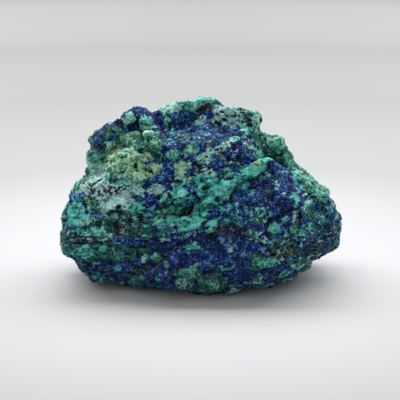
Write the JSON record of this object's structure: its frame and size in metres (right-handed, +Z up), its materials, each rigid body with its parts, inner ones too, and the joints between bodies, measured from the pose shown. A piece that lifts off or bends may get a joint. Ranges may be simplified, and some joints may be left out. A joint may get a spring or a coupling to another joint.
{
  "type": "azurite specimen",
  "caption": "Rough hand specimen of blue azurite on green malachite, a broken lump of ore with ledges, crevices and nodules that rests on a flat broken base.",
  "frame": {"origin": "the middle of the flat resting face, under the lump's centre, at floor level", "axes": "+X along the lump's longest side, +Z up from the flat resting face, -Y towards the front face with the ledges"},
  "size_m": [0.0894, 0.0653, 0.0556],
  "materials": {
    "ore": "rough broken ore: blue azurite crystals, green and mint malachite crust, black specks"
  },
  "bodies": {
    "root": {"azurite_rock": "ore"}
  },
  "joints": []
}
